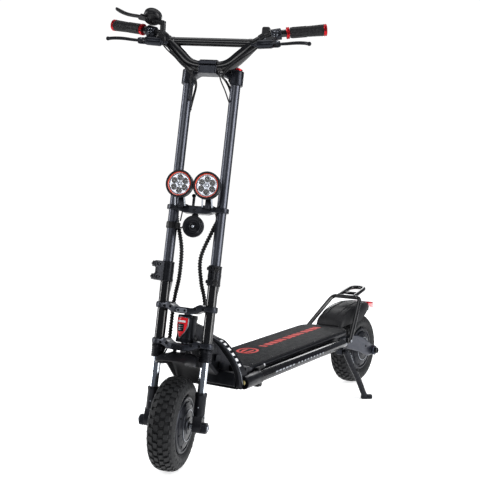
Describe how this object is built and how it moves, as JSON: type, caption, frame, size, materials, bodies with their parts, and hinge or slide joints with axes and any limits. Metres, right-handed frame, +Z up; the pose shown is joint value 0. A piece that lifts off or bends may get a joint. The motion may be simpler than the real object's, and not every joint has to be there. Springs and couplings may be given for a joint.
{
  "type": "electric kick scooter",
  "caption": "Folding electric kick scooter with twin stem tubes, a telescopic fork, hub motors, a long deck, two round lamps and a rear grab bar.",
  "frame": {"origin": "on the ground under the middle of the bounding box, with the handlebar turned as in the rest pose", "axes": "+X towards the rider's left, +Y towards the rear wheel, +Z up"},
  "size_m": [0.6466, 1.4782, 1.3863],
  "materials": {
    "black_paint": "satin black powder coat over aluminium",
    "slate_paint": "satin slate grey powder coat over aluminium",
    "black_plastic": "moulded, matte",
    "rubber": "matte",
    "tyre_rubber": "matte",
    "chrome": "polished hard chrome",
    "steel": "machined",
    "badge_red": "gloss",
    "button_red": "satin",
    "lamp_silver": "cast and polished",
    "lens_red": "clear gloss",
    "pack_blue": "shrink wrap",
    "cast_aluminium": "cast"
  },
  "bodies": {
    "chassis": {"head_tube": "black_paint", "neck": "black_paint", "head_badge": "badge_red", "bearing_upper": "steel", "bearing_lower": "steel", "deck_tray": "black_paint", "deck_cover": "black_paint", "deck_mat": "rubber", "battery_pack": "pack_blue", "motor_controller": "cast_aluminium", "side_rail_left": "black_paint", "side_rail_right": "black_paint", "grab_bar": "black_paint", "rear_fender": "black_plastic", "tail_light": "lens_red", "swingarm_shaft": "steel"},
    "fork": {"steerer_tube": "steel", "lower_clamp": "slate_paint", "middle_clamp": "slate_paint", "outer_tube_left": "black_paint", "outer_tube_right": "black_paint", "front_fender": "black_plastic", "hub_cable": "rubber"},
    "fork_lowers": {"stanchion_left": "chrome", "stanchion_right": "chrome", "fork_leg_left": "black_paint", "fork_leg_right": "black_paint", "front_axle": "steel"},
    "front_wheel": {"front_motor": "black_paint", "front_tyre": "tyre_rubber"},
    "stem": {"stem_tube_left": "black_paint", "stem_tube_right": "black_paint", "light_bracket": "slate_paint", "headlight_left": "lamp_silver", "headlight_right": "lamp_silver", "horn": "black_paint", "top_clamp": "slate_paint", "handlebar_clamp": "slate_paint", "handlebar": "black_paint", "crossbar": "black_paint", "grip_left": "rubber", "grip_right": "rubber", "brake_body_left": "slate_paint", "brake_body_right": "slate_paint", "display": "black_plastic", "switch_pod": "black_plastic", "cable_left": "rubber", "cable_right": "rubber"},
    "sleeve_left": {"fold_sleeve_left": "black_paint"},
    "sleeve_right": {"fold_sleeve_right": "black_paint"},
    "lever_left": {"brake_lever_left": "black_paint"},
    "lever_right": {"brake_lever_right": "black_paint"},
    "throttle": {"throttle_trigger": "black_plastic"},
    "horn_button": {"horn_button": "button_red"},
    "swingarm": {"swingarm_left": "slate_paint", "swingarm_right": "slate_paint", "rear_axle": "steel"},
    "rear_wheel": {"rear_motor": "black_paint", "rear_tyre": "tyre_rubber"},
    "kickstand": {"kickstand": "black_paint"}
  },
  "joints": [
    {"name": "steering", "type": "hinge", "parent": "chassis", "child": "fork", "pos_m": [-0.01735, -0.51664, 0.40843], "axis": [0, 0.2113, 0.9774], "range_deg": [-60.4, 19.6]},
    {"name": "fork_travel", "type": "slide", "parent": "fork", "child": "fork_lowers", "axis": [0, 0.2113, 0.9774], "range_m": [0, 0.045], "stiffness_N_per_m": 15000, "springref_m": -0.02, "deforming": ["hub_cable"]},
    {"name": "front_wheel_spin", "type": "hinge", "parent": "fork_lowers", "child": "front_wheel", "pos_m": [-0.00769, -0.60119, 0.14024], "axis": [0.9373, 0.3407, -0.0737], "continuous": true},
    {"name": "stem_fold", "type": "hinge", "parent": "fork", "child": "stem", "pos_m": [-0.01675, -0.48771, 0.5498], "axis": [-0.9373, -0.3407, 0.0737], "range_deg": [0, 80], "deforming": ["cable_left", "cable_right"]},
    {"name": "sleeve_left_slide", "type": "slide", "parent": "stem", "child": "sleeve_left", "axis": [0, 0.2113, 0.9774], "range_m": [0, 0.055]},
    {"name": "sleeve_right_slide", "type": "slide", "parent": "stem", "child": "sleeve_right", "axis": [0, 0.2113, 0.9774], "range_m": [0, 0.055]},
    {"name": "lever_left_pull", "type": "hinge", "parent": "stem", "child": "lever_left", "pos_m": [0.22134, -0.36944, 1.24829], "axis": [0.114, -0.4406, 0.8904], "range_deg": [0, 20], "stiffness_Nm_per_rad": 2, "springref_deg": -5.73},
    {"name": "lever_right_pull", "type": "hinge", "parent": "stem", "child": "lever_right", "pos_m": [-0.17607, -0.5139, 1.27952], "axis": [-0.3181, 0.3665, -0.8744], "range_deg": [0, 20], "stiffness_Nm_per_rad": 2, "springref_deg": -5.73},
    {"name": "throttle_pull", "type": "hinge", "parent": "stem", "child": "throttle", "pos_m": [-0.19477, -0.48732, 1.3546], "axis": [-0.0232, -0.7797, -0.6257], "range_deg": [0, 20], "stiffness_Nm_per_rad": 0.6, "springref_deg": -5.73},
    {"name": "horn_press", "type": "slide", "parent": "stem", "child": "horn_button", "axis": [0.3486, -0.9161, 0.1981], "range_m": [0, 0.002], "stiffness_N_per_m": 600, "springref_m": -0.0005},
    {"name": "swingarm_pivot", "type": "hinge", "parent": "chassis", "child": "swingarm", "pos_m": [-0.01735, 0.33511, 0.2136], "axis": [1, 0, 0], "range_deg": [0, 8], "stiffness_Nm_per_rad": 2000, "springref_deg": -3.44},
    {"name": "rear_wheel_spin", "type": "hinge", "parent": "swingarm", "child": "rear_wheel", "pos_m": [-0.01735, 0.58711, 0.1406], "axis": [1, 0, 0], "continuous": true},
    {"name": "kickstand_pivot", "type": "hinge", "parent": "chassis", "child": "kickstand", "pos_m": [0.10965, 0.27711, 0.1966], "axis": [-1, 0, 0], "range_deg": [0, 112]}
  ],
  "couplings": [
    {"joint": "sleeve_left_slide", "follows": "stem_fold", "m_per_rad": 0.039},
    {"joint": "sleeve_right_slide", "follows": "stem_fold", "m_per_rad": 0.039}
  ]
}
